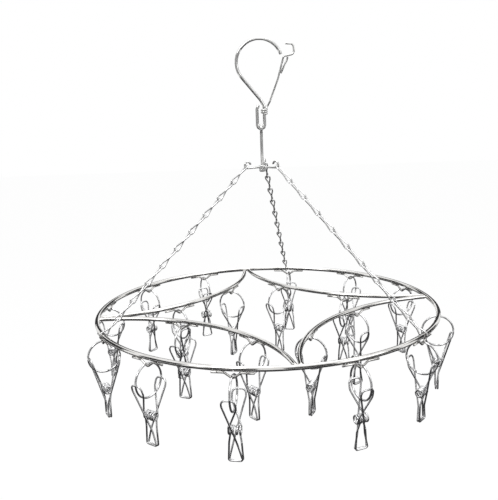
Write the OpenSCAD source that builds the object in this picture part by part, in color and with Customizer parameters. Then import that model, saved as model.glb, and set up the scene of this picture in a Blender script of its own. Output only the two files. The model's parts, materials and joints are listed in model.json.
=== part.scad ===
// Clip drying hanger: a wire hook, a swivel stem, three chains and a round wire
// frame that carries twenty spring wire clips, each on its own ring.
// Millimetres, +Z up. The origin is the seat of the hook: the inside of its bend,
// on the axis of the stem. Everything is round wire, bent and welded.

/* [Frame] */
// Diameter of the outer ring, over the wire
ring_d = 346; // [240:1:460]
// Wire of the outer ring
ring_wire = 4.5; // [3:0.1:7]
// Wire of the four inner arcs
arc_wire = 4; // [2.5:0.1:6]
// How far each arc bows towards the middle
arc_bow = 46; // [25:1:60]
// Turn of the whole frame about the stem
frame_turn = 7; // [0:1:89]

/* [Eyes] */
// Wire of the eyes welded under the frame
eye_wire = 2; // [1.2:0.1:3]
// Width of an eye's mouth, between the corners of its wire
eye_mouth = 14; // [11:0.5:22]
// Drop of an eye, between the middles of its straight ends and its bottom
eye_drop = 4.9; // [4.5:0.1:9]
// Length of each straight end that is welded to the frame
eye_tab = 11; // [5:0.5:20]
// Angle between two eyes on the outer ring
eye_step = 27; // [20:0.5:29]

/* [Clip rings] */
// Outer diameter of the ring that carries a clip
loop_d = 32; // [28:0.5:40]
// Wire of that ring
loop_wire = 1.8; // [1.2:0.1:2.4]

/* [Clips] */
// Wire of a clip
clip_wire = 1.6; // [1.2:0.1:1.9]
// Outer diameter of the coil
coil_d = 8.5; // [7:0.1:11]
// Turns in each half of the coil
coil_turns = 3; // [2:1:4]
// Height of a handle's top above the coil
handle_h = 30.5; // [26:0.5:34]
// Width of a handle's loop
handle_w = 12; // [9:0.5:14]
// Depth of the jaws below the coil
jaw_h = 27; // [18:0.5:40]
// Width of the jaws at the tip
jaw_w = 12; // [8:0.5:16]

/* [Chains] */
// Wire of a chain link
chain_wire = 1.5; // [1:0.1:1.8]
// Width of a link, over the wire
link_w = 6; // [5.2:0.1:8]
// Links in each chain
link_count = 10; // [7:1:14]

/* [Spreader and stem] */
// Reach of a spreader arm to the middle of its curl
arm_reach = 16; // [12:0.5:30]
// Wire of the spreader
arm_wire = 2; // [1.5:0.1:3]
// Wire of the stem
stem_wire = 2.8; // [2:0.1:4]
// Length of the stem, from the hook's eye to the spreader
stem_h = 37.4; // [25:0.1:80]
// Drop from the spreader to the middle of the outer ring's wire
frame_drop = 143.8; // [110:0.1:190]

/* [Hook and gate] */
// Inside radius of the hook's bend
hook_r = 20.5; // [16:0.5:32]
// Wire of the hook
hook_wire = 3; // [2.5:0.1:5]
// Wire of the gate
gate_wire = 1.8; // [1.2:0.1:2.4]
// Height of the hook, from its seat to the middle of its eye's bottom
hook_h = 83.1; // [75:0.1:120]

/* [Hidden] */
$fn = 48;

// Clearance between pieces that move on each other
play = 0.3;
// Clearance of pieces of one body that only touch
touch = 0.1;
// A collar stands proud of the wire by this share of the wire's size
knuckle = 0.04;
// Half the length of a collar, as a share of the wire's size
collar = 0.12;

steel = [0.78, 0.79, 0.8];
dark_steel = [0.6, 0.61, 0.63];

ring_r = (ring_d - ring_wire) / 2;
stem_z = -hook_h - stem_h;
frame_z = stem_z - frame_drop;

// Each arc is part of a circle whose middle lies outside the ring. Two arcs end side by
// side on the ring, so each one spans a little under a quarter of it.
arc_span = 45 - asin((arc_wire / 2 + touch) / ring_r);
arc_chord = ring_r * sin(arc_span);
arc_r = (arc_chord * arc_chord + arc_bow * arc_bow) / (2 * arc_bow);
arc_centre = ring_r * cos(arc_span) - arc_bow + arc_r;
arc_half = asin(arc_chord / arc_r);

// Clip, seen square to its ring: u across, v along the coil, w up from the coil
loop_r = (loop_d - loop_wire) / 2;
coil_r = (coil_d - clip_wire) / 2;
side_u = coil_d / 2 + play + clip_wire / 2;
tip_u = clip_wire / 2 + play / 2;
knee_h = jaw_h / 2;
knee_u = 1.7;
handle_in = 4;
handle_out = handle_in - handle_w;
loop_gap = (loop_wire + clip_wire) / 2 + play;
// How far the handles' tops sit inside the widest part of the clip ring's hole
handle_seat = 0.1;
handle_u = loop_r - loop_gap - handle_seat;
seat_gap = (loop_wire + eye_wire) / 2 + play;
// Height of the clip ring's middle above the coil: the handles' tops lie inside the ring
loop_w = handle_h + sqrt(pow(loop_r - loop_gap, 2) - handle_u * handle_u);
eye_w = loop_w + loop_r - seat_gap;

// The eye's bottom is rounded, so it lies above the corner of its two slopes
eye_bend = 2.4;
eye_rise = eye_bend * (norm([eye_mouth / 2, eye_drop]) / (eye_mouth / 2) - 1);
function seat_drop(wire) = (wire + eye_wire) / 2 + touch + eye_drop - eye_rise;

// How each clip hangs about the upright, in degrees, one value for each clip
clip_twist = [0, 0, 0, 0, 0, 0, 0, 0, 0, 0, 0, 0, 0, 0, 0, 0, 0, 0, 0, 0];

// Angle of the k-th eye of the outer ring, and of the k-th eye of the arcs
function ring_eye_angle(k) = frame_turn + 45 + 90 * floor((k - 1) / 3) + eye_step * ((k - 1) % 3 - 1);
function arc_angle(q) = frame_turn + 45 + 90 * (q - 1);

// Turns and moves its children to the place under the frame where clip k hangs
module at_eye(k) {
  if (k <= 12) {
    rotate([0, 0, ring_eye_angle(k)])
      translate([ring_r, 0, frame_z - seat_drop(ring_wire)])
        children();
  } else {
    side = k % 2 == 1 ? -1 : 1;
    rotate([0, 0, arc_angle(floor((k - 13) / 2) + 1)])
      translate([arc_centre, 0, 0])
        rotate([0, 0, side * -arc_half / 3])
          translate([-arc_r, 0, frame_z - seat_drop(arc_wire)])
            rotate([0, 0, 180])
              children();
  }
}

// Vector helpers
function unit(v) = v / norm(v);
function crosswise(v) = abs(v.z) > 0.9 * norm(v) ? [1, 0, 0] : [0, 0, 1];

// Puts the children's Z along z and their X as near as can be to x
module along(p, z, x) {
  zz = unit(z);
  yy = unit(cross(zz, x));
  xx = cross(yy, zz);
  multmatrix([
    [xx.x, yy.x, zz.x, p.x],
    [xx.y, yy.y, zz.y, p.y],
    [xx.z, yy.z, zz.z, p.z],
    [0, 0, 0, 1]
  ])
    children();
}

// Straight wire between two points
module rod(a, b, d) {
  along(a, b - a, crosswise(b - a))
    cylinder(h = norm(b - a), d = d);
}

// Length that a bend of radius r takes from each of its two straights
function setback(a, p, b, r) = r * tan(turn(a, p, b) / 2);
function turn(a, p, b) = acos(max(-1, min(1, unit(p - a) * unit(b - p))));

// One bend at p, on the way from a to b. A collar, proud by the knuckle, covers each
// place where the bend meets a straight.
module bend(a, p, b, r, d) {
  t = turn(a, p, b);
  in = unit(p - a);
  out = unit(b - p);
  start = p - in * setback(a, p, b, r);
  middle = p + unit(out - in) * r / cos(t / 2);
  shy = asin(d * knuckle / r);
  cover = asin(d * collar / r);
  along(middle, cross(in, out), start - middle) {
    wire_arc(r, d, shy, t - shy);
    wire_arc(r, d * (1 + knuckle), -cover, cover);
    wire_arc(r, d * (1 + knuckle), t - cover, t + cover);
  }
}

// Part of a ring of wire on XY, between two angles
module wire_arc(r, d, from, to) {
  rotate([0, 0, from])
    rotate_extrude(angle = to - from)
      translate([r, 0])
        circle(d = d);
}

// Wire through a list of points, with a bend of its own radius at each one between
module wire(points, radii, d) {
  n = len(points);
  for (i = [1 : n - 2])
    bend(points[i - 1], points[i], points[i + 1], radii[i], d);
  for (i = [0 : n - 2]) {
    a = points[i];
    b = points[i + 1];
    dir = unit(b - a);
    from = i == 0 ? 0 : setback(points[i - 1], a, b, radii[i]);
    to = i == n - 2 ? 0 : setback(a, b, points[i + 2], radii[i + 1]);
    rod(a + dir * (from + (i == 0 ? 0 : d * knuckle)), b - dir * (to + (i == n - 2 ? 0 : d * knuckle)), d);
  }
}

// Closed loop of wire through a list of points
module closed_wire(points, radii, d) {
  n = len(points);
  for (i = [0 : n - 1]) {
    before = points[(i + n - 1) % n];
    here = points[i];
    next = points[(i + 1) % n];
    after = points[(i + 2) % n];
    bend(before, here, next, radii[i], d);
    dir = unit(next - here);
    from = setback(before, here, next, radii[i]) + d * knuckle;
    to = setback(here, next, after, radii[(i + 1) % n]) + d * knuckle;
    rod(here + dir * from, next - dir * to, d);
  }
}

// Ring of wire, flat on XY
module hoop(r, d) {
  rotate_extrude()
    translate([r, 0])
      circle(d = d);
}

// ---- Hook ----

hook_mid = hook_r + hook_wire / 2;
hook_tip_angle = 18;
hook_back_angle = 219;
eye_half = 3.5;
throat_z = -55.5;

module hook() {
  color(steel) {
    translate([0, 0, -hook_r])
      rotate([90, 0, 0])
        mirror([0, 0, 1])
          wire_arc(hook_mid, hook_wire, hook_tip_angle, hook_back_angle - 1);
    hook_shank();
    hook_end(hook_tip_angle, 1.06);
    hook_end(hook_back_angle - 0.5, 1.04);
  }
}

function hook_point(angle) = [hook_mid * cos(angle), 0, hook_mid * sin(angle) - hook_r];

module hook_end(angle, swell) {
  translate(hook_point(angle))
    sphere(d = hook_wire * swell);
}

// From the back of the bend down to the throat, then round the eye
module hook_shank() {
  back = hook_point(hook_back_angle);
  fall = [-sin(hook_back_angle), 0, cos(hook_back_angle)];
  wire(
    [
      back,
      back + fall * (-back.x / fall.x),
      [eye_half, 0, throat_z - 6],
      [eye_half, 0, -hook_h],
      [-eye_half, 0, -hook_h],
      [-eye_half, 0, throat_z - 9],
      [-eye_half + 1.6, 0, throat_z - 5]
    ],
    [0, 6, 6, 3.4, 3.4, 4, 0],
    hook_wire
  );
}

// ---- Gate ----

gate_y = -(hook_wire + gate_wire) / 2 - play - 0.2;
gate_pivot = [eye_half + hook_wire / 2 + gate_wire / 2 + 2 * play, 0, -62];
wrap_turns = 3;

// Turns of the gate's wire that are wound tight round the leg of the hook's eye
module gate_root() {
  color(steel)
    translate([eye_half, 0, gate_pivot.z - 2.6 - wrap_turns * gate_wire])
      coil((hook_wire + gate_wire) / 2 + touch, gate_wire, wrap_turns);
}

// Turns of wire side by side round Z, from z = 0 up, as one ridged sleeve
module coil(r, d, turns) {
  pitch = d * 0.96;
  rotate_extrude()
    for (i = [0 : turns - 1])
      translate([r, d / 2 + i * pitch])
        circle(d = d);
}

module gate() {
  color(dark_steel) {
    wire(
      [
        gate_pivot,
        gate_pivot + [2.6, gate_y, 4.5],
        [17.4, gate_y, -36.5],
        [23.2, gate_y, -16.2],
        [27.6, gate_y, -14.2],
        [26.6, gate_y, -19],
        [20.2, gate_y, -31.5]
      ],
      [0, 3, 30, 1.5, 1.5, 8, 0],
      gate_wire
    );
    translate(gate_pivot)
      sphere(d = gate_wire * 1.25);
    finger_curl();
  }
}

// The open curl that a finger presses
module finger_curl() {
  wire(
    [
      [25.4, gate_y, -15.2],
      [33.6, gate_y, -14.2],
      [32.6, gate_y, -4.6],
      [25.2, gate_y, -4.2]
    ],
    [0, 3.8, 3.2, 0],
    gate_wire
  );
}

// ---- Stem ----

stem_eye_r = hook_wire / 2 + 0.5 + stem_wire / 2;
hub_d = 7;
hub_h = 3.2;
head_d = 6.4;
head_h = 2.6;
swivel_play = 0.1;

module stem() {
  color(steel) {
    translate([0, 0, -hook_h])
      rotate([0, 90, 0])
        hoop(stem_eye_r, stem_wire);
    translate([0, 0, stem_z - hub_h / 2 - play - head_h])
      cylinder(h = stem_h + hub_h / 2 + play + head_h - stem_eye_r, d = stem_wire);
    translate([0, 0, stem_z - hub_h / 2 - play - head_h])
      stem_head();
  }
}

// Upset head that keeps the spreader on the stem
module stem_head() {
  rotate_extrude()
    polygon([
      [0, 0],
      [head_d / 2 - 1, 0],
      [head_d / 2, 0.9],
      [head_d / 2, head_h - 0.6],
      [head_d / 2 - 0.6, head_h],
      [0, head_h]
    ]);
}

// ---- Spreader ----

curl_r = 3;
chain_side = 2.8;
chain_eyes = [3, 7, 11];

function chain_angle(c) = ring_eye_angle(chain_eyes[c]) + asin(chain_side / ring_r);

module spreader() {
  color(steel) {
    difference() {
      translate([0, 0, stem_z - hub_h / 2])
        cylinder(h = hub_h, d = hub_d);
      translate([0, 0, stem_z - hub_h])
        cylinder(h = 2 * hub_h, r = stem_wire / 2 + swivel_play);
    }
    for (c = [0 : 2])
      rotate([0, 0, chain_angle(c)])
        spreader_arm();
  }
}

// One arm along X, its end curled up and back
module spreader_arm() {
  foot = [hub_d / 2 - 0.8, 0, stem_z];
  rod(foot, [arm_reach - arm_wire * knuckle, 0, stem_z], arm_wire);
  translate([arm_reach, 0, stem_z])
    sphere(d = arm_wire * (1 + knuckle));
  translate([arm_reach, 0, stem_z + curl_r])
    rotate([90, 0, 0])
      rotate([0, 0, -88])
        rotate_extrude(angle = 268)
          translate([curl_r, 0])
            circle(d = arm_wire);
}

// ---- Chains ----

// A chain runs straight from the curl of its arm to the outer ring
chain_lean = atan2(frame_drop + curl_r, ring_r - arm_reach);
chain_dir = [cos(chain_lean), 0, -sin(chain_lean)];
link_hold = curl_r - (arm_wire + chain_wire) / 2 - touch;
ring_hold = (ring_wire + chain_wire) / 2 + 2 * touch;
chain_from = [arm_reach, 0, stem_z + curl_r] + chain_dir * link_hold;
chain_to = [ring_r, 0, frame_z] + chain_dir * ring_hold;
chain_length = norm(chain_to - chain_from);
link_half = (link_w - chain_wire) / 2;
link_bite = chain_wire + touch;
link_pitch = (chain_length - link_bite) / link_count;
link_length = link_pitch + link_bite;
waist = chain_wire / 2 + touch;

// Chain c runs down its own X-Z plane, turned to its eye
module chain(c) {
  color(steel)
    rotate([0, 0, chain_angle(c)])
      along(chain_from, chain_dir, [0, 1, 0])
        for (i = [0 : link_count - 1])
          translate([0, 0, i * link_pitch])
            link(i == link_count - 1 ? ring_hold + touch : link_half);
}

// Twisted link: its first end lies across the chain's plane and its last end in it
module link(end_half) {
  top = link_half;
  low = end_half;
  h = link_length;
  m = waist * cos(45);
  closed_wire(
    [
      [-top, 0, 0],
      [top, 0, 0],
      [top, 0, h * 0.2],
      [m, m, h / 2],
      [0, low, h - low * 1.4],
      [0, low, h],
      [0, -low, h],
      [0, -low, h - low * 1.4],
      [-m, -m, h / 2],
      [-top, 0, h * 0.2]
    ],
    [top * 0.95, top * 0.95, 3, 5, 3, low * 0.95, low * 0.95, 3, 5, 3],
    chain_wire
  );
}

// ---- Frame ----

module outer_ring() {
  color(steel)
    translate([0, 0, frame_z])
      hoop(ring_r, ring_wire);
}

// The q-th inner arc, coped to the inside of the outer ring
module arc(q) {
  color(steel)
    difference() {
      rotate([0, 0, arc_angle(q)])
        translate([arc_centre, 0, frame_z])
          rotate([0, 0, 180 - arc_half])
            rotate_extrude(angle = 2 * arc_half)
              translate([arc_r, 0])
                circle(d = arc_wire);
      translate([0, 0, frame_z])
        hoop(ring_r, ring_wire + 2 * touch);
    }
}

// V-shaped eye: its bottom is at the origin, its ends lie along Y under the frame's wire
module eye() {
  color(steel)
    wire(
      [
        [0, -eye_mouth / 2 - eye_tab, eye_drop - eye_rise],
        [0, -eye_mouth / 2, eye_drop - eye_rise],
        [0, 0, -eye_rise],
        [0, eye_mouth / 2, eye_drop - eye_rise],
        [0, eye_mouth / 2 + eye_tab, eye_drop - eye_rise]
      ],
      [0, 3, eye_bend, 3, 0],
      eye_wire
    );
}

module ring_eyes(q) {
  for (k = [1 : 3])
    at_eye(3 * (q - 1) + k)
      eye();
}

module arc_eyes() {
  for (k = [13 : 20])
    at_eye(k)
      eye();
}

// ---- Clips ----

// From the eye's bottom to the axis of the coil of the clip that hangs from it
module at_clip(k) {
  at_eye(k)
    rotate([0, 0, clip_twist[k - 1]])
      translate([0, 0, -eye_w])
        children();
}

// One half of a clip, on the +u side: a handle's loop, a jaw's loop and its half of
// the coil, which both halves of the real spring share
module clip_half() {
  rise = handle_h / (handle_h + jaw_h);
  lean = (jaw_w / 2 - handle_out) / (handle_h + jaw_h);
  wire(
    [
      [coil_r, -2.1, 0.8],
      [coil_r + 1.9, -0.6, 6.5],
      [handle_u - 2.2, handle_in, handle_h - 8],
      [handle_u, handle_in - 0.6, handle_h],
      [handle_u, handle_out + 0.6, handle_h],
      [handle_u - 1.2, handle_out, handle_h - 5],
      [side_u, -0.8, 0],
      [knee_u, -0.8 + lean * knee_h, -knee_h],
      [tip_u, jaw_w / 2, -jaw_h],
      [tip_u, -jaw_w / 2, -jaw_h],
      [tip_u + 0.2, -jaw_w / 2 + 1, -knee_h + 3],
      [coil_r, -3.6, -0.8]
    ],
    [0, 8, 9, 3.6, 3.4, 7, 30, 20, 1.6, 1.6, 9, 0],
    clip_wire
  );
  rotate([90, 0, 0])
    translate([0, 0, play / 2])
      coil(coil_r, clip_wire, coil_turns);
}

module clip_fixed(k) {
  color(steel)
    at_clip(k) {
      clip_half();
      translate([0, 0, loop_w])
        rotate([90, 0, 0])
          hoop(loop_r, loop_wire);
    }
}

module clip_free(k) {
  color(dark_steel)
    at_clip(k)
      rotate([0, 0, 180])
        clip_half();
}

hook();
gate_root();
gate();
stem();
spreader();
chain(0);  // chain_1
chain(1);  // chain_2
chain(2);  // chain_3
outer_ring();
arc(1);  // arc_1
arc(2);  // arc_2
arc(3);  // arc_3
arc(4);  // arc_4
ring_eyes(1);  // ring_eyes_1
ring_eyes(2);  // ring_eyes_2
ring_eyes(3);  // ring_eyes_3
ring_eyes(4);  // ring_eyes_4
arc_eyes();
clip_fixed(1);  // clip_01_fixed
clip_fixed(2);  // clip_02_fixed
clip_fixed(3);  // clip_03_fixed
clip_fixed(4);  // clip_04_fixed
clip_fixed(5);  // clip_05_fixed
clip_fixed(6);  // clip_06_fixed
clip_fixed(7);  // clip_07_fixed
clip_fixed(8);  // clip_08_fixed
clip_fixed(9);  // clip_09_fixed
clip_fixed(10);  // clip_10_fixed
clip_fixed(11);  // clip_11_fixed
clip_fixed(12);  // clip_12_fixed
clip_fixed(13);  // clip_13_fixed
clip_fixed(14);  // clip_14_fixed
clip_fixed(15);  // clip_15_fixed
clip_fixed(16);  // clip_16_fixed
clip_fixed(17);  // clip_17_fixed
clip_fixed(18);  // clip_18_fixed
clip_fixed(19);  // clip_19_fixed
clip_fixed(20);  // clip_20_fixed
clip_free(1);  // clip_01_free
clip_free(2);  // clip_02_free
clip_free(3);  // clip_03_free
clip_free(4);  // clip_04_free
clip_free(5);  // clip_05_free
clip_free(6);  // clip_06_free
clip_free(7);  // clip_07_free
clip_free(8);  // clip_08_free
clip_free(9);  // clip_09_free
clip_free(10);  // clip_10_free
clip_free(11);  // clip_11_free
clip_free(12);  // clip_12_free
clip_free(13);  // clip_13_free
clip_free(14);  // clip_14_free
clip_free(15);  // clip_15_free
clip_free(16);  // clip_16_free
clip_free(17);  // clip_17_free
clip_free(18);  // clip_18_free
clip_free(19);  // clip_19_free
clip_free(20);  // clip_20_free
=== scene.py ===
# %% [markdown]
# # Clip drying hanger
# A round drying hanger: a hook, a swivel stem, three chains and a round frame of
# stainless wire that carries twenty spring clips. Everything on it is wire, so this
# lesson builds a small wire bender and then bends each piece as a workshop would.

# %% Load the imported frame
import json
import math
import random

import bmesh
import bpy
from mathutils import Matrix, Vector


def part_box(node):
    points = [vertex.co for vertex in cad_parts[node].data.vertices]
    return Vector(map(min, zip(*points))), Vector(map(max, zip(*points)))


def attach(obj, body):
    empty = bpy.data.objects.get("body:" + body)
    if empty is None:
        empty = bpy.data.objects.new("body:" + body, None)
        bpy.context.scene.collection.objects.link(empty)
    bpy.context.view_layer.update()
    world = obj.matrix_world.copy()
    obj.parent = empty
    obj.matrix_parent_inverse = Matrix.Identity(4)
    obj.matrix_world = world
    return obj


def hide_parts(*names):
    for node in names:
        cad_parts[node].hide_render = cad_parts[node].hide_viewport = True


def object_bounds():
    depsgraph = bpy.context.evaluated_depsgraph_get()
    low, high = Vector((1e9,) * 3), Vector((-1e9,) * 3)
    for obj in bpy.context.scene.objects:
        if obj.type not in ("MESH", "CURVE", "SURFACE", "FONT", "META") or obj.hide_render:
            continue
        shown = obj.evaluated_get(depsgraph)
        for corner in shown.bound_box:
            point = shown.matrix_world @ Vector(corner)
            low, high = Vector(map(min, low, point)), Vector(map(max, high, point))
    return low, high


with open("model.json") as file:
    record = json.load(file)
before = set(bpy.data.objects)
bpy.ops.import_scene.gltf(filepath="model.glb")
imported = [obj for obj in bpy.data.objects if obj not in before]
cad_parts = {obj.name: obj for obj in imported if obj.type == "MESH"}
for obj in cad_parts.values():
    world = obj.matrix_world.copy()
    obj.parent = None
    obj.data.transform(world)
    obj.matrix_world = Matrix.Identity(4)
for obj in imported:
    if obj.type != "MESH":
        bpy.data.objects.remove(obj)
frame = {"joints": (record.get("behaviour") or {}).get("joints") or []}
cad_box = [list(corner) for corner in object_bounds()]
joints = {joint["name"]: joint for joint in frame["joints"]}

# %% [markdown]
# ## Camera
# The hanger is seen from the front and a little above its frame. The lens stands
# 0.72 m from the middle of the frame, tips down 12 degrees and leans 2 degrees.
# Rotations are written as matrices: tip about the camera's own X, then lean about
# its line of sight.

# %% Camera
VIEW_FROM = Vector((-0.016, -0.704, -0.054))
TIP_DOWN = math.radians(12.0)
LEAN = math.radians(-2.0)
LENS = 51.3

camera = bpy.data.objects.new("camera", bpy.data.cameras.new("camera"))
bpy.context.scene.collection.objects.link(camera)
camera.data.lens = LENS
aim = Matrix.Rotation(math.pi / 2 - TIP_DOWN, 4, "X") @ Matrix.Rotation(LEAN, 4, "Z")
camera.matrix_world = Matrix.Translation(VIEW_FROM) @ aim
bpy.context.scene.camera = camera
bpy.context.scene.view_settings.view_transform = "Standard"
print("camera at", tuple(VIEW_FROM))

# %% [markdown]
# ## White room
# Bright wire on white is hard to see, so photographers stand dark cards, called
# flags, around it: the wire mirrors them as dark bands along its sides. Wide flags
# leave only narrow gaps of white between them, which the wire shows as bright lines.
# The world and the floor are plain white. The flags are hidden from the camera and
# throw no shadow, so they only show in the metal.


# %% World, lamps and floor
def node(tree, kind, **inputs):
    """A shader node with some of its inputs set."""
    made = tree.nodes.new(kind)
    for socket, value in inputs.items():
        made.inputs[socket.replace("_", " ")].default_value = value
    return made


def seen_share(tree):
    """One where the camera, a mirror or a glass looks, and nought for lighting."""
    path = tree.nodes.new("ShaderNodeLightPath")
    total = path.outputs["Is Camera Ray"]
    for name in ("Is Glossy Ray", "Is Transmission Ray"):
        add = tree.nodes.new("ShaderNodeMath")
        add.operation = "MAXIMUM"
        tree.links.new(total, add.inputs[0])
        tree.links.new(path.outputs[name], add.inputs[1])
        total = add.outputs[0]
    return total


WHITE = (1, 1, 1, 1)
world = bpy.data.worlds.new("white_room")
bpy.context.scene.world = world
world.use_nodes = True
tree = world.node_tree
tree.nodes.clear()
seen = node(tree, "ShaderNodeBackground", Color=WHITE, Strength=1.0)
fill = node(tree, "ShaderNodeBackground", Color=WHITE, Strength=0.85)
mix = tree.nodes.new("ShaderNodeMixShader")
out = tree.nodes.new("ShaderNodeOutputWorld")
tree.links.new(seen_share(tree), mix.inputs[0])
tree.links.new(fill.outputs[0], mix.inputs[1])
tree.links.new(seen.outputs[0], mix.inputs[2])
tree.links.new(mix.outputs[0], out.inputs[0])


def soft_lamp(name, place, size, watts):
    """A square soft box that faces the middle of the hanger."""
    data = bpy.data.lights.new(name, "AREA")
    data.size, data.energy = size, watts
    lamp = bpy.data.objects.new(name, data)
    bpy.context.scene.collection.objects.link(lamp)
    middle = Vector((0, 0, -0.2))
    lamp.location = place
    lamp.rotation_euler = (middle - Vector(place)).to_track_quat("-Z", "Y").to_euler()
    print(name, watts, "W")


soft_lamp("key_box", (-0.9, -1.2, 1.0), 0.9, 9)
soft_lamp("fill_box", (1.3, -0.7, 0.4), 0.8, 4)
soft_lamp("top_box", (0.1, 0.4, 1.2), 1.0, 7)

FLOOR_DROP, FLOOR_SIZE = 0.35, 12


def plain(name, colour, rough, shown=0.0):
    """A matt finish. shown mixes in its plain colour where it is looked at."""
    made = bpy.data.materials.new(name)
    made.use_nodes = True
    tree = made.node_tree
    matt = tree.nodes["Principled BSDF"]
    matt.inputs["Base Color"].default_value = (*colour, 1)
    matt.inputs["Roughness"].default_value = rough
    if shown:
        glow = node(tree, "ShaderNodeEmission", Color=(*colour, 1), Strength=1.0)
        share = tree.nodes.new("ShaderNodeMath")
        share.operation = "MULTIPLY"
        share.inputs[1].default_value = shown
        both = tree.nodes.new("ShaderNodeMixShader")
        tree.links.new(seen_share(tree), share.inputs[0])
        tree.links.new(share.outputs[0], both.inputs[0])
        tree.links.new(matt.outputs[0], both.inputs[1])
        tree.links.new(glow.outputs[0], both.inputs[2])
        tree.links.new(both.outputs[0], tree.nodes["Material Output"].inputs[0])
    return made


def panel(name, width, height, place, finish):
    """A flat rectangle of the room, which isn't part of the hanger."""
    bm = bmesh.new()
    bmesh.ops.create_grid(bm, x_segments=1, y_segments=1, size=0.5)
    bmesh.ops.scale(bm, vec=(width, height, 1), verts=bm.verts)
    bmesh.ops.transform(bm, matrix=place, verts=bm.verts)
    mesh = bpy.data.meshes.new(name)
    bm.to_mesh(mesh)
    bm.free()
    mesh.materials.append(finish)
    made = bpy.data.objects.new(name, mesh)
    bpy.context.scene.collection.objects.link(made)
    return made


floor_z = cad_box[0][2] - FLOOR_DROP
floor_paint = plain("floor_paint", (1, 1, 1), 0.9, 0.9)
panel("floor", FLOOR_SIZE, FLOOR_SIZE, Matrix.Translation((0, 0, floor_z)), floor_paint)
print("floor at", round(floor_z, 3))

# %% Flags
FLAG_COUNT = 8
FLAG_WIDTH = 0.86
FLAG_LOW, FLAG_HIGH = -1.1, 0.75
FLAG_RADIUS = 1.6
UNDER_SIZE, UNDER_LIFT = 2.2, 0.02
flag_cloth = plain("flag_cloth", (0.03, 0.03, 0.032), 1.0)


def flag(name, width, height, place):
    """A dark card that only the metal sees."""
    made = panel(name, width, height, place, flag_cloth)
    made.visible_camera = made.visible_diffuse = made.visible_shadow = False
    made.visible_transmission = False
    return made


for number in range(FLAG_COUNT):
    turn = Matrix.Rotation(2 * math.pi * (number + 0.5) / FLAG_COUNT, 4, "Z")
    stand = turn @ Matrix.Translation((FLAG_RADIUS, 0, (FLAG_LOW + FLAG_HIGH) / 2))
    upright = stand @ Matrix.Rotation(math.pi / 2, 4, "Y")
    flag(f"flag_{number + 1}", FLAG_HIGH - FLAG_LOW, FLAG_WIDTH, upright)
flag("flag_under", UNDER_SIZE, UNDER_SIZE, Matrix.Translation((0, 0, floor_z + UNDER_LIFT)))
print("flags", FLAG_COUNT + 1)

# %% [markdown]
# ## Bright drawn wire
# Wire is pulled through a die, which leaves fine lines along it. Each vertex that the
# bender makes carries where it sits round the wire and how far along, in millimetres,
# as the attribute `grain`. Noise stretched along that attribute gives the lines, in
# roughness and in bump. A second attribute, `heat`, is one beside a weld and fades
# away from it: the steel there turns straw, then bronze, then blue.


# %% Steel finishes
def drawn_steel(name, pale, dark, rough, line_depth=0.12):
    """Polished stainless wire with die lines, faint stains and weld colours."""
    made = bpy.data.materials.new(name)
    made.use_nodes = True
    tree = made.node_tree
    link = tree.links.new
    steel = tree.nodes["Principled BSDF"]
    steel.inputs["Metallic"].default_value = 1.0

    grain = tree.nodes.new("ShaderNodeAttribute")
    grain.attribute_name = "grain"
    stretch = node(tree, "ShaderNodeMapping", Scale=(5.0, 5.0, 0.05))
    lines = node(tree, "ShaderNodeTexNoise", Scale=2.0, Detail=4.0, Roughness=0.6)
    link(grain.outputs["Vector"], stretch.inputs["Vector"])
    link(stretch.outputs["Vector"], lines.inputs["Vector"])

    place = tree.nodes.new("ShaderNodeTexCoord")
    stains = node(tree, "ShaderNodeTexNoise", Scale=70.0, Detail=3.0, Roughness=0.55)
    link(place.outputs["Object"], stains.inputs["Vector"])

    tone = tree.nodes.new("ShaderNodeValToRGB")
    tone.color_ramp.elements[0].position = 0.3
    tone.color_ramp.elements[0].color = (*dark, 1)
    tone.color_ramp.elements[1].position = 0.65
    tone.color_ramp.elements[1].color = (*pale, 1)
    link(stains.outputs["Fac"], tone.inputs[0])

    heat = tree.nodes.new("ShaderNodeAttribute")
    heat.attribute_name = "heat"
    tint = tree.nodes.new("ShaderNodeValToRGB")
    ramp = tint.color_ramp
    ramp.elements[0].color = (1, 1, 1, 1)
    ramp.elements[1].color = (0.5, 0.52, 0.62, 1)
    for spot, colour in ((0.35, (1.0, 0.9, 0.68, 1)), (0.7, (0.75, 0.52, 0.36, 1))):
        ramp.elements.new(spot).color = colour
    link(heat.outputs["Fac"], tint.inputs[0])
    stained = tree.nodes.new("ShaderNodeMix")
    stained.data_type = "RGBA"
    stained.blend_type = "MULTIPLY"
    stained.inputs["Factor"].default_value = 0.85
    link(tone.outputs["Color"], stained.inputs["A"])
    link(tint.outputs["Color"], stained.inputs["B"])
    link(stained.outputs["Result"], steel.inputs["Base Color"])

    dull = node(tree, "ShaderNodeMapRange", To_Min=rough * 0.6, To_Max=rough * 1.6)
    link(lines.outputs["Fac"], dull.inputs["Value"])
    link(dull.outputs["Result"], steel.inputs["Roughness"])

    bump = node(tree, "ShaderNodeBump", Strength=line_depth, Distance=0.0002)
    link(lines.outputs["Fac"], bump.inputs["Height"])
    link(bump.outputs["Normal"], steel.inputs["Normal"])
    return made


frame_steel = drawn_steel("frame_steel", (0.86, 0.85, 0.83), (0.70, 0.69, 0.67), 0.09, 0.05)
hook_steel = drawn_steel("hook_steel", (0.86, 0.86, 0.85), (0.70, 0.70, 0.69), 0.10, 0.06)
chain_steel = drawn_steel("chain_steel", (0.90, 0.90, 0.90), (0.78, 0.78, 0.78), 0.08, 0.05)
clip_steel = drawn_steel("clip_steel", (0.86, 0.86, 0.86), (0.66, 0.66, 0.67), 0.07, 0.05)
print("finishes", [m.name for m in bpy.data.materials])

# %% [markdown]
# ## The wire bender
# A wire bender only feeds wire forward and bends it round a pin. In bmesh that is a
# ring of vertices that is extruded and moved, or spun a few degrees at a time. The
# helper keeps where the wire's end is, where it points and how much has been fed.
# The points of a piece are its corners, in millimetres, and each corner has the
# radius of the pin that bends it.


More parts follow.
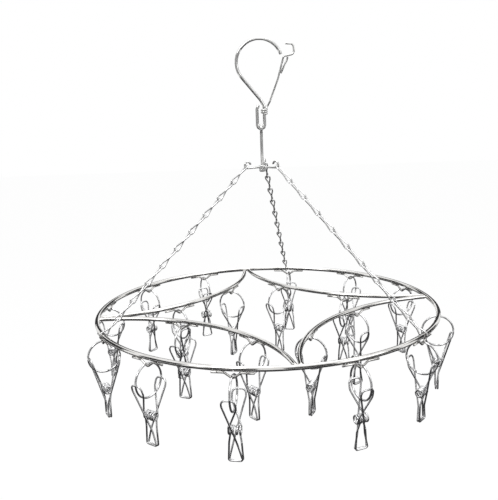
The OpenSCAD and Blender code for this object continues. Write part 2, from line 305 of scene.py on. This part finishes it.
# %% Bender
MM = 0.001


def bend_step(radius):
    """Degrees of bend for each ring of vertices: fewer rings on a tight pin."""
    return 18 if radius < 5 else 10 if radius < 25 else 1.5


class Bender:
    """Feeds and bends one wire, from one end to the other."""

    def __init__(self, thick, at, toward, sides=12):
        self.bm = bmesh.new()
        self.grain = self.bm.verts.layers.float_vector.new("grain")
        self.thick = thick
        self.at = Vector(at)
        self.toward = Vector(toward).normalized()
        self.fed = 0.0
        turn = self.toward.to_track_quat("Z", "Y").to_matrix().to_4x4()
        ring = bmesh.ops.create_circle(
            self.bm, cap_ends=False, segments=sides, radius=thick / 2,
            matrix=Matrix.Translation(self.at) @ turn,
        )["verts"]
        for number, vert in enumerate(ring):
            angle = 2 * math.pi * number / sides
            vert[self.grain] = (math.cos(angle), math.sin(angle), 0)
        self.rim = list(ring) + list(self.bm.edges)

    def moved(self, made, length):
        """Notes the new end of the wire."""
        verts = [v for v in made if isinstance(v, bmesh.types.BMVert)]
        inside = set(verts)
        edges = [e for e in made if isinstance(e, bmesh.types.BMEdge) and set(e.verts) <= inside]
        self.rim = verts + edges
        self.fed += length
        for vert in verts:
            vert[self.grain].z = self.fed
        return verts

    def feed(self, length):
        """Pushes the wire straight on."""
        edges = [e for e in self.rim if isinstance(e, bmesh.types.BMEdge)]
        made = bmesh.ops.extrude_edge_only(self.bm, edges=edges)["geom"]
        verts = self.moved(made, length)
        bmesh.ops.translate(self.bm, verts=verts, vec=self.toward * length)
        self.at = self.at + self.toward * length

    def bend(self, centre, axis, degrees, climb=0.0):
        """Bends the wire round an axis. With climb it winds a coil."""
        centre, axis = Vector(centre), Vector(axis).normalized()
        radius = (self.at - centre).cross(axis).length
        steps = max(2, math.ceil(degrees / bend_step(radius)))
        part = math.radians(degrees) / steps
        rise = axis * climb / steps
        turn = Matrix.Rotation(part, 3, axis)
        for _ in range(steps):
            made = bmesh.ops.spin(
                self.bm, geom=self.rim, cent=centre, axis=axis, dvec=rise, angle=part,
                space=Matrix(), steps=1, use_merge=False, use_normal_flip=False,
                use_duplicate=False,
            )["geom_last"]
            self.moved(made, math.hypot(radius * part, climb / steps))
            self.at = centre + turn @ (self.at - centre) + rise
            self.toward = turn @ self.toward

    def through(self, points, radii):
        """Runs on through corners to the last point. Each corner has its own pin."""
        points = [Vector(p) for p in points]
        for number, corner in enumerate(points[:-1]):
            into = (corner - self.at).normalized()
            away = (points[number + 1] - corner).normalized()
            angle = into.angle(away)
            back = radii[number] * math.tan(angle / 2)
            self.feed((corner - self.at).length - back)
            if angle > 0.001:
                pin = (away - into).normalized() * radii[number] / math.cos(angle / 2)
                self.bend(corner + pin, into.cross(away), math.degrees(angle))
            self.toward = away
        self.feed((points[-1] - self.at).length)
        return self

    def cut(self):
        """Closes both ends and breaks their sharp rims, and gives the mesh."""
        ends = [e for e in self.bm.edges if e.is_boundary]
        if ends:
            bmesh.ops.holes_fill(self.bm, edges=ends, sides=0)
            bmesh.ops.bevel(
                self.bm, geom=ends, offset=self.thick * 0.17, offset_type="OFFSET",
                segments=2, profile=0.5, affect="EDGES", material=-1, clamp_overlap=True,
            )
        return as_mesh(self.bm)


def as_mesh(bm):
    """A mesh in metres, with its faces turned outwards."""
    bmesh.ops.recalc_face_normals(bm, faces=bm.faces)
    mesh = bpy.data.meshes.new("wire")
    bm.to_mesh(mesh)
    bm.free()
    mesh.transform(Matrix.Scale(MM, 4))
    mesh.shade_smooth()
    mesh.set_sharp_from_angle(angle=math.radians(50))
    return mesh


def start_wire(thick, points, sides=12):
    """A bender at the first point that aims at the second."""
    return Bender(thick, points[0], Vector(points[1]) - Vector(points[0]), sides)


def bent_wire(thick, points, radii, sides=12):
    """A finished wire through a list of corners."""
    return start_wire(thick, points, sides).through(points[1:], radii).cut()


def wire_ring(thick, radius, sides=14):
    """A closed ring of wire, flat on XY, with its butt joint at angle 0."""
    bender = Bender(thick, (radius, 0, 0), (0, 1, 0), sides)
    turn_steps = math.ceil(360 / bend_step(radius))
    bmesh.ops.spin(
        bender.bm, geom=bender.rim, cent=(0, 0, 0), axis=(0, 0, 1), dvec=(0, 0, 0),
        angle=2 * math.pi, space=Matrix(), steps=turn_steps, use_merge=True,
        use_normal_flip=False, use_duplicate=False,
    )
    for vert in bender.bm.verts:
        vert[bender.grain].z = radius * math.atan2(vert.co.y, vert.co.x)
    return as_mesh(bender.bm)


pieces = {}


def piece(name, mesh, finish, body, replaces=(), place=None):
    """Puts a mesh into the scene as one piece that rides on a body of the frame."""
    mesh.name = name
    if place is not None:
        mesh.transform(place)
    mesh.materials.clear()
    mesh.materials.append(finish)
    made = bpy.data.objects.new(name, mesh)
    bpy.context.scene.collection.objects.link(made)
    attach(made, body)
    if replaces:
        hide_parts(*replaces)
    pieces[name] = made
    return made


def joined(meshes):
    """Several meshes as one."""
    bm = bmesh.new()
    for mesh in meshes:
        bm.from_mesh(mesh)
    made = bpy.data.meshes.new("joined")
    bm.to_mesh(made)
    bm.free()
    made.shade_smooth()
    made.set_sharp_from_angle(angle=math.radians(50))
    return made


print("bender ready, bend steps", bend_step(2), bend_step(10), bend_step(170))

# %% [markdown]
# ## Hook
# The hook is one 3 mm wire. It starts at a rounded tip over the mouth, runs round the
# bend that hangs on the rail, comes back to the middle, and ends in a narrow eye that
# the stem swings in.

# %% Hook
HOOK_WIRE = 3.0
HOOK_IN = 20.5
HOOK_MID = HOOK_IN + HOOK_WIRE / 2
HOOK_TIP, HOOK_BACK = 18, 219
EYE_HALF = 3.5
THROAT = -55.5
HOOK_EYE = joints["stem_swing"]["pos_m"][2] / MM


def round_hook(angle):
    """A point of the hook's bend, in millimetres."""
    turn = math.radians(angle)
    return Vector((HOOK_MID * math.cos(turn), 0, HOOK_MID * math.sin(turn) - HOOK_IN))


tip_turn = math.radians(HOOK_TIP)
hook = Bender(HOOK_WIRE, round_hook(HOOK_TIP), (-math.sin(tip_turn), 0, math.cos(tip_turn)), 16)
hook.bend((0, 0, -HOOK_IN), (0, -1, 0), HOOK_BACK - HOOK_TIP)
run = -hook.at.x / hook.toward.x
hook.through(
    [
        hook.at + hook.toward * run,
        (EYE_HALF, 0, THROAT - 6),
        (EYE_HALF, 0, HOOK_EYE),
        (-EYE_HALF, 0, HOOK_EYE),
        (-EYE_HALF, 0, THROAT - 9),
        (-EYE_HALF + 1.6, 0, THROAT - 5),
    ],
    [6, 6, 3.4, 3.4, 4],
)
piece("hook_wire", hook.cut(), hook_steel, "hook", ["hook"])
print("hook wire", round(hook.fed), "mm")

# %% [markdown]
# ## Gate
# A thinner sprung wire is wound on the hook's leg, rises to the tip of the hook and
# turns back beside itself. A small curl welded to it lets a finger push it inwards.
# The winding stays with the hook, and the rest swings, so the wire is cut in two just
# under the place where it bends.

# %% Gate
GATE_WIRE = 1.8
pivot = Vector(joints["gate_hinge"]["pos_m"]) / MM
GATE_Y = -2.9
WIND_R = (HOOK_WIRE + GATE_WIRE) / 2 + 0.1
WIND_TURNS = 2.75

foot_z = pivot.z - 7.4
winding = Bender(GATE_WIRE, (EYE_HALF, -WIND_R, foot_z), (1, 0, 0.1))
winding.bend((EYE_HALF, 0, foot_z), (0, 0, 1), 360 * WIND_TURNS - 90, GATE_WIRE * 1.05 * WIND_TURNS)
winding.through([winding.at + winding.toward * 1.6, pivot - Vector((0, 0.4, 1.4))], [1.3])
piece("gate_winding", winding.cut(), hook_steel, "hook", ["gate_root"])

gate_points = [
    pivot,
    pivot + Vector((2.6, GATE_Y, 4.5)),
    (17.4, GATE_Y, -36.5),
    (23.2, GATE_Y, -16.2),
    (27.6, GATE_Y, -14.2),
    (26.6, GATE_Y, -19),
    (20.2, GATE_Y, -31.5),
]
curl_points = [(25.4, GATE_Y, -15.2), (33.6, GATE_Y, -14.2), (32.6, GATE_Y, -4.6), (25.2, GATE_Y, -4.2)]
gate_wire = bent_wire(GATE_WIRE, gate_points, [3, 30, 1.5, 1.5, 8])
gate_curl = bent_wire(GATE_WIRE, curl_points, [3.8, 3.2])
piece("gate_wire", joined([gate_wire, gate_curl]), hook_steel, "gate", ["gate"])
print("gate winding", round(winding.fed), "mm")

# %% [markdown]
# ## Stem and spreader
# The stem is a wire with an eye bent at its top and a head upset at its bottom, like
# the head of a nail. The spreader's hub turns on it above the head. The hub and the
# head are turned parts, so a small profile is spun round the stem's axis.


# %% Turned parts
def turned(profile, segments=32):
    """A closed profile of (radius, height) corners, spun once round the Z axis."""
    bm = bmesh.new()
    corners = [bm.verts.new((r, 0, z)) for r, z in profile]
    edges = [bm.edges.new((a, b)) for a, b in zip(corners, corners[1:] + corners[:1])]
    bmesh.ops.bevel(
        bm, geom=[v for v in corners if v.co.x > 0], offset=0.3, offset_type="OFFSET",
        segments=2, profile=0.5, affect="VERTICES", material=-1, clamp_overlap=True,
    )
    bmesh.ops.spin(
        bm, geom=bm.verts[:] + bm.edges[:], cent=(0, 0, 0), axis=(0, 0, 1), dvec=(0, 0, 0),
        angle=2 * math.pi, space=Matrix(), steps=segments, use_merge=True,
        use_normal_flip=False, use_duplicate=False,
    )
    bmesh.ops.remove_doubles(bm, verts=bm.verts, dist=0.001)
    grain = bm.verts.layers.float_vector.new("grain")
    for vert in bm.verts:
        vert[grain] = (vert.co.z, vert.co.xy.length, 6 * math.atan2(vert.co.y, vert.co.x))
    print("turned part with", len(edges), "corners,", len(bm.faces), "faces")
    return as_mesh(bm)


STEM_WIRE = 2.8
STEM_EYE = 3.4
HUB_R, HUB_H = 3.5, 3.2
HEAD_R, HEAD_H = 3.2, 2.6
hub_z = joints["frame_swivel"]["pos_m"][2] / MM
head_z = hub_z - HUB_H / 2 - 0.3 - HEAD_H
EYE_START, EYE_END = -35, 250
NECK = 1.77


def stem_point(angle):
    """A point of the stem's eye, which stands square to the hook."""
    turn = math.radians(angle)
    return Vector((0, STEM_EYE * math.cos(turn), HOOK_EYE + STEM_EYE * math.sin(turn)))


eye_turn = math.radians(EYE_START)
stem = Bender(STEM_WIRE, stem_point(EYE_START), (0, -math.sin(eye_turn), math.cos(eye_turn)), 16)
stem.bend((0, 0, HOOK_EYE), (1, 0, 0), EYE_END - EYE_START)
neck_centre = stem.at + Vector((0, -stem.toward.z, stem.toward.y)).normalized() * -NECK
stem.bend(neck_centre, (-1, 0, 0), EYE_END - 180)
stem.toward = Vector((0, 0, -1))
stem.feed(stem.at.z - head_z - 0.2)
head = turned(
    [(0, 0), (HEAD_R - 0.8, 0), (HEAD_R, 0.9), (HEAD_R, HEAD_H - 0.4), (HEAD_R - 0.4, HEAD_H), (0, HEAD_H)]
)
head.transform(Matrix.Translation((0, 0, head_z * MM)))
piece("stem_wire", joined([stem.cut(), head]), hook_steel, "stem", ["stem"])

# %% [markdown]
# Three arms are welded into the hub. Each one runs out flat and ends in a curl that
# holds the first link of a chain.

# %% Spreader
ARM_WIRE = 2.0
ARM_REACH = 16.0
CURL_R = 3.0
RING_WIRE = 4.5
CHAIN_SIDE = 2.8
EYE_OF_CHAIN = [3, 7, 11]


def clip_joint(number, what="swing"):
    """Where and round what a clip turns: the place in millimetres, and the axis."""
    found = joints[f"clip_{number:02d}_{what}"]
    return Vector(found["pos_m"]) / MM, Vector(found["axis"])


ring_low, ring_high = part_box("outer_ring")
ring_r = (ring_high.x - ring_low.x) / 2 / MM - RING_WIRE / 2
ring_z = (ring_high.z + ring_low.z) / 2 / MM


def chain_turn(number):
    """The angle at which a chain stands: just beside its eye."""
    place, _ = clip_joint(EYE_OF_CHAIN[number])
    return math.atan2(place.y, place.x) + math.asin(CHAIN_SIDE / ring_r)


bore = STEM_WIRE / 2 + 0.1
hub = turned([(bore, -HUB_H / 2), (HUB_R, -HUB_H / 2), (HUB_R, HUB_H / 2), (bore, HUB_H / 2)])
arms = []
for number in range(3):
    arm = Bender(ARM_WIRE, (HUB_R - 0.8, 0, 0), (1, 0, 0))
    arm.feed(ARM_REACH - arm.at.x)
    arm.bend((ARM_REACH, 0, CURL_R), (0, -1, 0), 268)
    mesh = arm.cut()
    mesh.transform(Matrix.Rotation(chain_turn(number), 4, "Z"))
    arms.append(mesh)
piece("spreader", joined([hub, *arms]), hook_steel, "frame", ["spreader"],
      Matrix.Translation((0, 0, hub_z * MM)))
print("arms", len(arms), "ring radius", round(ring_r, 2))

# %% [markdown]
# ## Chains
# Each chain has ten links of thin wire. A link is bent shut, with a fine slit where its
# two ends meet, and twisted a quarter turn so that it lies flat in both neighbours.
# The last link is wider and goes round the outer ring. The chains hang taut.

# %% Chains
CHAIN_WIRE = 1.5
LINK_HALF = (6.0 - CHAIN_WIRE) / 2
LINK_COUNT = 10
TOUCH = 0.1
SLIT = 0.15
RING_HOLD = (RING_WIRE + CHAIN_WIRE) / 2 + 2 * TOUCH

curl_at = Vector((ARM_REACH, 0, hub_z + CURL_R))
down = (Vector((ring_r, 0, ring_z)) - curl_at).normalized()
chain_from = curl_at + down * (CURL_R - (ARM_WIRE + CHAIN_WIRE) / 2 - TOUCH)
chain_to = Vector((ring_r, 0, ring_z)) + down * RING_HOLD
BITE = CHAIN_WIRE + TOUCH
pitch = ((chain_to - chain_from).length - BITE) / LINK_COUNT
link_long = pitch + BITE


def chain_link(low):
    """One twisted link. Its far end is low millimetres wide each way."""
    m = (CHAIN_WIRE / 2 + TOUCH) * math.cos(math.pi / 4)
    top, h = LINK_HALF, link_long
    corners = [
        (-top, 0, h * 0.2), (-top, 0, 0), (top, 0, 0), (top, 0, h * 0.2), (m, m, h / 2),
        (0, low, h - low * 1.4), (0, low, h), (0, -low, h), (0, -low, h - low * 1.4), (-m, -m, h / 2),
    ]
    pins = [3, top * 0.95, top * 0.95, 3, 5, 3, low * 0.95, low * 0.95, 3, 5]
    start = Vector(corners[0]).lerp(Vector(corners[1]), 0.5)
    end = start - (Vector(corners[1]) - Vector(corners[0])).normalized() * SLIT
    return bent_wire(CHAIN_WIRE, [start, *corners[1:], corners[0], end], pins[1:] + pins[:1], 10)


side = down.cross(Vector((0, 1, 0))).normalized()
lie = Matrix((
    (0, side.x, down.x, chain_from.x * MM),
    (1, side.y, down.y, chain_from.y * MM),
    (0, side.z, down.z, chain_from.z * MM),
    (0, 0, 0, 1),
))
for number in range(3):
    links = []
    for step in range(LINK_COUNT):
        last = step == LINK_COUNT - 1
        mesh = chain_link(RING_HOLD + TOUCH if last else LINK_HALF)
        mesh.transform(Matrix.Translation((0, 0, step * pitch * MM)))
        links.append(mesh)
    piece(f"chain_{number + 1}_links", joined(links), chain_steel, "frame",
          [f"chain_{number + 1}"], Matrix.Rotation(chain_turn(number), 4, "Z") @ lie)
print("link", round(link_long, 2), "mm long, pitch", round(pitch, 2))

# %% [markdown]
# ## Ring, arcs and eyes
# The outer ring is thick wire with its ends butted and welded. Four arcs bow towards
# the middle, and their coped ends are welded inside the ring, two side by side. Under
# ring and arcs sit twenty eyes, each a shallow V with two straight ends.

# %% Outer ring and arcs
ARC_WIRE = 4.0
ARC_BOW = 46.0
ring_mesh = wire_ring(RING_WIRE, ring_r, 20)
ring_mesh.transform(Matrix.Translation((0, 0, ring_z * MM)))

span = math.radians(45) - math.asin((ARC_WIRE / 2 + TOUCH) / ring_r)
chord = ring_r * math.sin(span)
arc_r = (chord ** 2 + ARC_BOW ** 2) / (2 * ARC_BOW)
arc_out = ring_r * math.cos(span) - ARC_BOW + arc_r
arc_half = math.asin(chord / arc_r)
COPE = (RING_WIRE / 2 + TOUCH * 2) / arc_r
clip_14 = clip_joint(14)[0]
clip_13 = clip_joint(13)[0]
first_quarter = math.atan2((clip_13 + clip_14).y, (clip_13 + clip_14).x)


def arc_turn(number):
    """The angle of the middle of an arc, seen from the stem."""
    return first_quarter + math.pi / 2 * number


welds = []
arc_meshes = []
for number in range(4):
    half = arc_half - COPE
    start = math.pi - half
    arc = Bender(ARC_WIRE, (arc_out + arc_r * math.cos(start), arc_r * math.sin(start), ring_z),
                 (-math.sin(start), math.cos(start), 0), 18)
    arc.bend((arc_out, 0, ring_z), (0, 0, 1), math.degrees(2 * half))
    turn = Matrix.Rotation(arc_turn(number), 3, "Z")
    for side in (1, -1):
        end = Vector((arc_out + arc_r * math.cos(start), side * arc_r * math.sin(start), ring_z))
        welds.append(turn @ end)
    mesh = arc.cut()
    mesh.transform(turn.to_4x4())
    arc_meshes.append(mesh)
print("arc radius", round(arc_r, 1), "welds", len(welds))

# %% Eyes
EYE_WIRE = 2.0
MOUTH, TAB = 14.0, 11.0
EYE_BEND = 2.4
slope_drop = 4.9
eye_rise = EYE_BEND * (math.hypot(MOUTH / 2, slope_drop) / (MOUTH / 2) - 1)


def stand_at(number):
    """The matrix, in metres, from an eye's own place to where clip number hangs."""
    place, axis = clip_joint(number)
    out = Vector((axis.y, -axis.x, 0))
    turn = Matrix((out, axis, (0, 0, 1))).transposed().to_4x4()
    return Matrix.Translation(place * MM) @ turn


eye_top = slope_drop - eye_rise
eye_points = [
    (0, -MOUTH / 2 - TAB, eye_top), (0, -MOUTH / 2, eye_top), (0, 0, -eye_rise),
    (0, MOUTH / 2, eye_top), (0, MOUTH / 2 + TAB, eye_top),
]
tab_welds = []


def placed_eye(number):
    """An eye, bent once more for each place."""
    mesh = bent_wire(EYE_WIRE, eye_points, [3, EYE_BEND, 3])
    mesh.transform(stand_at(number))
    for side in (-1, 1):
        bead = Vector((0, side * (MOUTH / 2 + TAB * 0.55), eye_top + EYE_WIRE * 0.4))
        spot = stand_at(number) @ (bead * MM)
        tab_welds.append((number, spot / MM))
    return mesh


eye_groups = {f"ring_eyes_{q + 1}": range(3 * q + 1, 3 * q + 4) for q in range(4)}
eye_groups["arc_eyes"] = range(13, 21)
eye_meshes = {name: joined([placed_eye(n) for n in numbers]) for name, numbers in eye_groups.items()}
print("eyes", sum(len(g) for g in eye_groups.values()), "tab welds", len(tab_welds))

# %% [markdown]
# ## Welds
# Resistance welds leave a small squeezed nugget between two wires, and a coloured halo
# in the steel beside it. The nugget is a squashed ball. The halo is the `heat`
# attribute, worked out for each vertex from its distance to the nearest weld.


# %% Weld nuggets and heat
def nugget(at, size, squash):
    """A weld bead: a ball squashed along Z, a little uneven."""
    bm = bmesh.new()
    bmesh.ops.create_uvsphere(bm, u_segments=10, v_segments=7, radius=size)
    for vert in bm.verts:
        vert.co *= random.uniform(0.93, 1.05)
    bmesh.ops.smooth_vert(bm, verts=bm.verts, factor=0.4, use_axis_x=True, use_axis_y=True, use_axis_z=True)
    bmesh.ops.scale(bm, vec=(1, 1, squash), verts=bm.verts)
    bmesh.ops.translate(bm, verts=bm.verts, vec=at)
    grain = bm.verts.layers.float_vector.new("grain")
    for vert in bm.verts:
        vert[grain] = vert.co
    return as_mesh(bm)


def warm(mesh, spots, reach):
    """Writes heat: 1 on a weld, fading to 0 over a few times reach millimetres."""
    made = mesh.attributes.new("heat", "FLOAT", "POINT")
    values = []
    for vert in mesh.vertices:
        near = min((vert.co / MM - spot).length for spot in spots)
        values.append(math.exp(-((near / reach) ** 2)))
    made.data.foreach_set("value", values)
    return mesh


# How far from a weld the metal is tinted, in millimetres
ARC_HEAT, EYE_HEAT = 5, 2.5
random.seed(7)
tab_spots = [spot for _, spot in tab_welds]
piece("outer_ring_wire", warm(ring_mesh, welds, ARC_HEAT), frame_steel, "frame", ["outer_ring"])
for number, mesh in enumerate(arc_meshes):
    name = f"arc_{number + 1}"
    piece(f"{name}_wire", warm(mesh, welds, ARC_HEAT), frame_steel, "frame", [name])
for name, mesh in eye_meshes.items():
    piece(f"{name}_wires", warm(mesh, tab_spots, EYE_HEAT), frame_steel, "frame", [name])
for name, numbers in eye_groups.items():
    beads = [nugget(spot, 1.1, 0.7) for n, spot in tab_welds if n in numbers]
    piece(f"{name}_welds", warm(joined(beads), tab_spots, EYE_HEAT), frame_steel, "frame")
beads = [nugget(spot, 2.1, 0.55) for spot in welds]
piece("arc_welds", warm(joined(beads), welds, ARC_HEAT), frame_steel, "frame")
print("weld beads", len(tab_spots) + len(beads))

# %% [markdown]
# ## Clips
# Each clip is one spring wire. It starts as a free end hooked round the coil, rises to
# a handle loop, comes down across the coil, turns round the jaw and winds back into
# the coil. The other half is the same, turned about the upright. The coil is cut at
# its middle, so that each half can turn with its own body. The handles' loops hang on
# a ring. One half and one ring are bent once and copied twenty times.

# %% Clip halves and rings
CLIP_WIRE = 1.6
COIL_R = (8.5 - CLIP_WIRE) / 2
HANDLE_H, HANDLE_U = 30.5, 13.0
JAW_H, JAW_W = 27.0, 12.0
KNEE_H, KNEE_U = JAW_H / 2, 1.7
SIDE_U = 8.5 / 2 + 0.3 + CLIP_WIRE / 2
TIP_U = CLIP_WIRE / 2 + 0.15
HANDLE_IN, HANDLE_OUT = 4.0, -8.0
COIL_STEP = CLIP_WIRE * 1.02
HOOK_TURNS, COIL_WINDS = 0.92, 1.3
# How far the hooked end drifts along the coil in a turn, as a share of the step
HOOK_DRIFT = 0.2
LOOP_WIRE = 1.8
LOOP_R = (32.0 - LOOP_WIRE) / 2

coil_start = -(0.15 + CLIP_WIRE / 2)
jaw_v = coil_start - COIL_WINDS * COIL_STEP
free_v = jaw_v - COIL_STEP
lean = (JAW_W / 2 - HANDLE_OUT) / (HANDLE_H + JAW_H)


def clip_half():
    """Half a clip: u across the clip, v along its coil, w up, from the coil's middle."""
    hook_on = math.radians(-360 * HOOK_TURNS)
    start_v = free_v - HOOK_TURNS * COIL_STEP * HOOK_DRIFT
    start = (COIL_R * math.cos(hook_on), start_v, COIL_R * math.sin(hook_on))
    wire = Bender(CLIP_WIRE, start, (-math.sin(hook_on), 0.05, math.cos(hook_on)), 10)
    wire.bend((0, start[1], 0), (0, -1, 0), 360 * HOOK_TURNS, -(free_v - start[1]))
    wire.through(
        [
            (COIL_R + 0.2, free_v, 2.2),
            (HANDLE_U - 2.2, HANDLE_IN, HANDLE_H - 8),
            (HANDLE_U, HANDLE_IN - 0.6, HANDLE_H),
            (HANDLE_U, HANDLE_OUT + 0.6, HANDLE_H),
            (HANDLE_U - 1.2, HANDLE_OUT, HANDLE_H - 5),
            (SIDE_U, -0.8, 0),
            (KNEE_U, -0.8 + lean * KNEE_H, -KNEE_H),
            (TIP_U, JAW_W / 2, -JAW_H),
            (TIP_U, -JAW_W / 2, -JAW_H),
            (TIP_U + 0.2, -JAW_W / 2 + 1, -KNEE_H + 3),
            (COIL_R, jaw_v, -1.5),
            (COIL_R, jaw_v, 0),
        ],
        [4, 9, 3.6, 3.4, 7, 30, 20, 1.6, 1.6, 9, 4],
    )
    wire.bend((0, jaw_v, 0), (0, -1, 0), 360 * COIL_WINDS, jaw_v - coil_start)
    print("half clip", round(wire.fed), "mm of wire")
    print("coil from", round(coil_start, 2), "to", round(start[1], 2))
    return wire.cut()


half_clip = clip_half()
loop = wire_ring(LOOP_WIRE, LOOP_R, 10)
loop.transform(Matrix.Rotation(math.pi / 2, 4, "X"))
loop_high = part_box("clip_01_fixed")[1]
loop_z = (loop_high.z / MM - LOOP_R - LOOP_WIRE / 2) * MM
coil_z = clip_joint(1, "open")[0].z * MM
half_turn = Matrix.Rotation(math.pi, 4, "Z")

for number in range(1, 21):
    place, axis = clip_joint(number, "open")
    across = Vector((axis.y, -axis.x, 0))
    turn = Matrix((across, axis, (0, 0, 1))).transposed().to_4x4()
    stand = Matrix.Translation(place * MM) @ turn
    lift = Matrix.Translation((0, 0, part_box(f"clip_{number:02d}_fixed")[1].z - loop_high.z + loop_z - coil_z))
    name = f"clip_{number:02d}"
    piece(f"{name}_ring", loop.copy(), clip_steel, name, place=stand @ lift)
    piece(f"{name}_half_a", half_clip.copy(), clip_steel, name, [f"{name}_fixed"], stand)
    piece(f"{name}_half_b", half_clip.copy(), clip_steel, f"{name}_lever",
          [f"{name}_free"], stand @ half_turn)
faces = sum(len(made.data.loops) - 2 * len(made.data.polygons) for made in pieces.values())
print("pieces", len(pieces), "triangles", faces)
